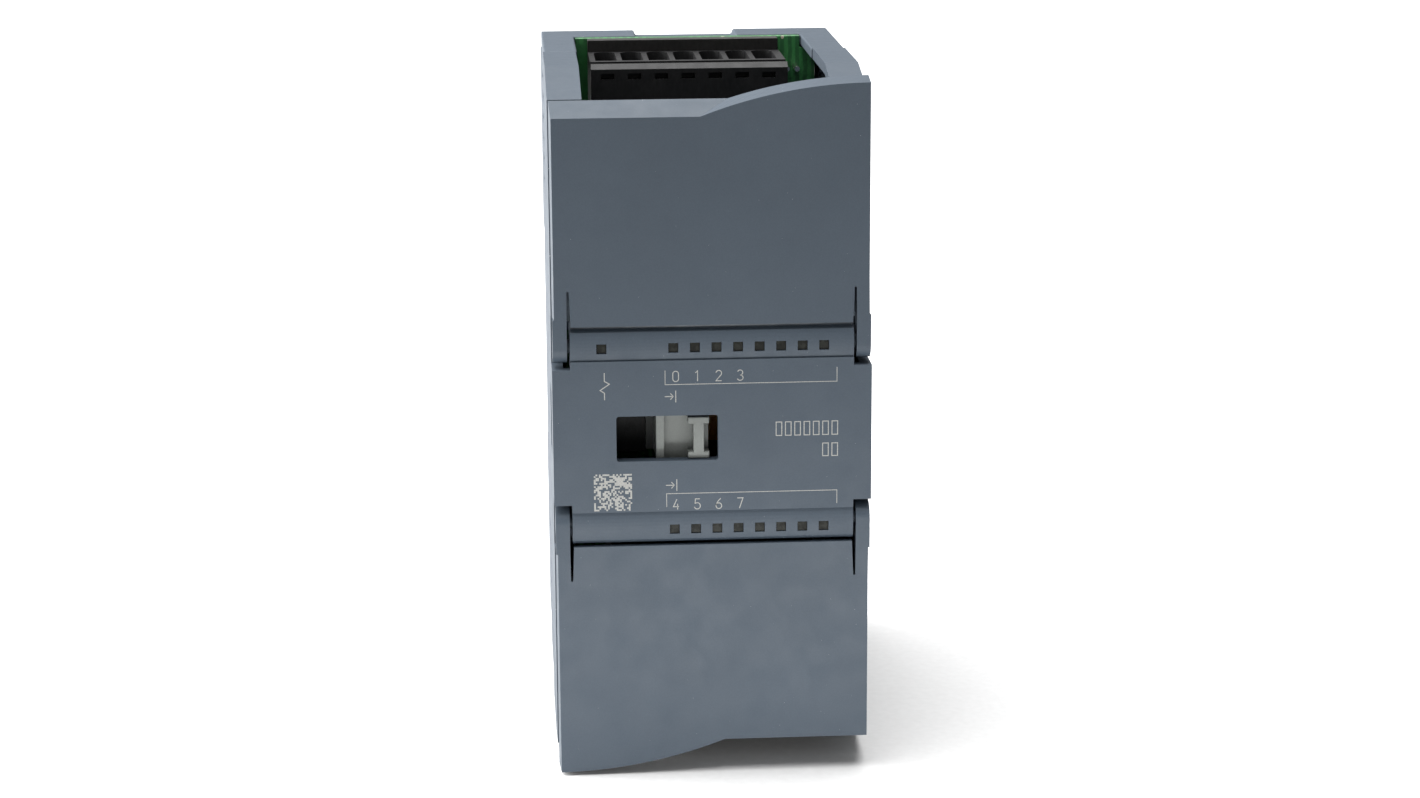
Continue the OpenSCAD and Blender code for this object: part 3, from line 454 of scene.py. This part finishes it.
def arrow_to_bar(bm, x, z):
    """Generic input symbol: an arrow that meets a bar."""
    stroke_prism(bm, [(x - 0.8, z), (x + 0.4, z)])
    stroke_prism(bm, [(x, z + 0.45), (x + 0.4, z), (x, z - 0.45)])
    stroke_prism(bm, [(x + 0.75, z + 0.85), (x + 0.75, z - 0.85)])


def pulse(bm, x, z):
    """Generic pulse symbol, drawn upward from its foot."""
    line = [(0, 0), (0, 1.0), (-0.6, 1.4), (0.7, 2.3), (0, 2.7), (0, 3.9)]
    stroke_prism(bm, [(x + px, z + pz) for px, pz in line])


CELL_W = 0.8
CELL_PITCH = 1.32


def blank_cells(bm, x0, z0, count, height):
    """A row of plain outlined cells, where a type number would be."""
    for i in range(count):
        x = x0 + i * CELL_PITCH
        outline = [(x, z0), (x + CELL_W, z0), (x + CELL_W, z0 + height), (x, z0 + height)]
        stroke_prism(bm, outline, closed=True)


def panel_marks():
    bm = bmesh.new()
    channels = 4
    for i in range(channels):
        draw_digit(bm, str(i), lamp_x(i) + 0.29, 8.66)
        draw_digit(bm, str(i + channels), lamp_x(i) + 0.22, -9.95)
    bracket(bm, -6.68, 17.55, 7.5, 9.55)
    bracket(bm, -6.6, 17.6, -8.35, -10.3)
    arrow_to_bar(bm, -5.95, 5.78)
    arrow_to_bar(bm, -5.9, -7.12)
    pulse(bm, -15.2, 5.45)
    blank_cells(bm, 8.95, -0.2, 7, 1.95)
    blank_cells(bm, 15.55, -3.3, 2, 1.85)
    make_mark("panel_marks", bm)


CODE_CELLS = 22
CODE_SIDE = 5.38
CODE_CORNER = (-16.87, -10.7)
CODE_COVER = 0.55


def code_patch():
    """A square of random cells, which encodes nothing, in place of the printed code."""
    bm = bmesh.new()
    rng = random.Random(41)
    step = CODE_SIDE / CODE_CELLS
    x0, z0 = CODE_CORNER
    for row in range(CODE_CELLS):
        bottom, top = z0 + row * step, z0 + (row + 1) * step
        start = None
        for col in range(CODE_CELLS + 1):
            on = col < CODE_CELLS and rng.random() < CODE_COVER
            if on and start is None:
                start = col
            if not on and start is not None:
                left, right = x0 + start * step, x0 + col * step
                ink_plate(bm, [(left, bottom), (right, bottom), (right, top), (left, top)])
                start = None
    make_mark("code_patch", bm)


panel_marks()
code_patch()


# ---------- stage, camera, light ----------

CAMERA_AZIMUTH = math.radians(3.85)
CAMERA_ELEVATION = math.radians(13.56)
CAMERA_ROLL = math.radians(-0.31)
CAMERA_DISTANCE = 0.43212
CAMERA_LENS = 77.94
TARGET = Vector((-0.38 * MM, FRONT_Y, 5.3 * MM))


def add_camera():
    data = bpy.data.cameras.new("camera")
    data.lens = CAMERA_LENS
    data.sensor_width = 36.0
    cam = bpy.data.objects.new("camera", data)
    bpy.context.scene.collection.objects.link(cam)
    away = Vector((-math.sin(CAMERA_AZIMUTH) * math.cos(CAMERA_ELEVATION),
                   -math.cos(CAMERA_AZIMUTH) * math.cos(CAMERA_ELEVATION),
                   math.sin(CAMERA_ELEVATION)))
    cam.location = TARGET + away * CAMERA_DISTANCE
    look = (-away).to_track_quat("-Z", "Y")
    cam.rotation_mode = "QUATERNION"
    cam.rotation_quaternion = look @ Quaternion((0, 0, 1), CAMERA_ROLL)
    bpy.context.scene.camera = cam


FLOOR_HALF = 3.0
FLOOR_GAP = 0.2 * MM


def add_floor():
    bm = bmesh.new()
    signs = ((-1, -1), (1, -1), (1, 1), (-1, 1))
    bm.faces.new([bm.verts.new((FLOOR_HALF * a, FLOOR_HALF * b, FLOOR_Z - FLOOR_GAP)) for a, b in signs])
    mesh = bpy.data.meshes.new("floor")
    bm.to_mesh(mesh)
    bm.free()
    floor = bpy.data.objects.new("floor", mesh)
    bpy.context.scene.collection.objects.link(floor)
    mesh.materials.append(floor_paper("floor_paper"))


SUN_ANGLE = math.radians(75)


def add_light(name, kind, where, target, energy, size=None):
    """Adds a light that the camera doesn't see: an AREA light has a size, a SUN has SUN_ANGLE."""
    data = bpy.data.lights.new(name, kind)
    data.energy = energy
    if kind == "AREA":
        data.shape = "RECTANGLE"
        data.size, data.size_y = size
    else:
        data.angle = SUN_ANGLE
    light = bpy.data.objects.new(name, data)
    bpy.context.scene.collection.objects.link(light)
    light.location = where
    light.visible_camera = False
    light.rotation_euler = (Vector(target) - Vector(where)).to_track_quat("-Z", "Y").to_euler()


def add_lighting():
    world = bpy.data.worlds.new("studio")
    bpy.context.scene.world = world
    world.use_nodes = True
    back = world.node_tree.nodes["Background"]
    back.inputs["Color"].default_value = (1, 1, 1, 1)
    back.inputs["Strength"].default_value = 0.38
    add_light("top_dome", "SUN", (-0.2, 0.12, 1.0), (0, 0, 0), 8.5)
    add_light("left_box", "AREA", (-0.9, 0.25, 0.25), (0, -0.03, 0), 36, (0.7, 0.9))
    add_light("front_low", "AREA", (0.0, -0.13, -0.044), (0, -0.0675, -0.044), 0.09, (0.2, 0.01))


add_camera()
add_floor()
add_lighting()
bpy.context.scene.view_settings.view_transform = "Standard"
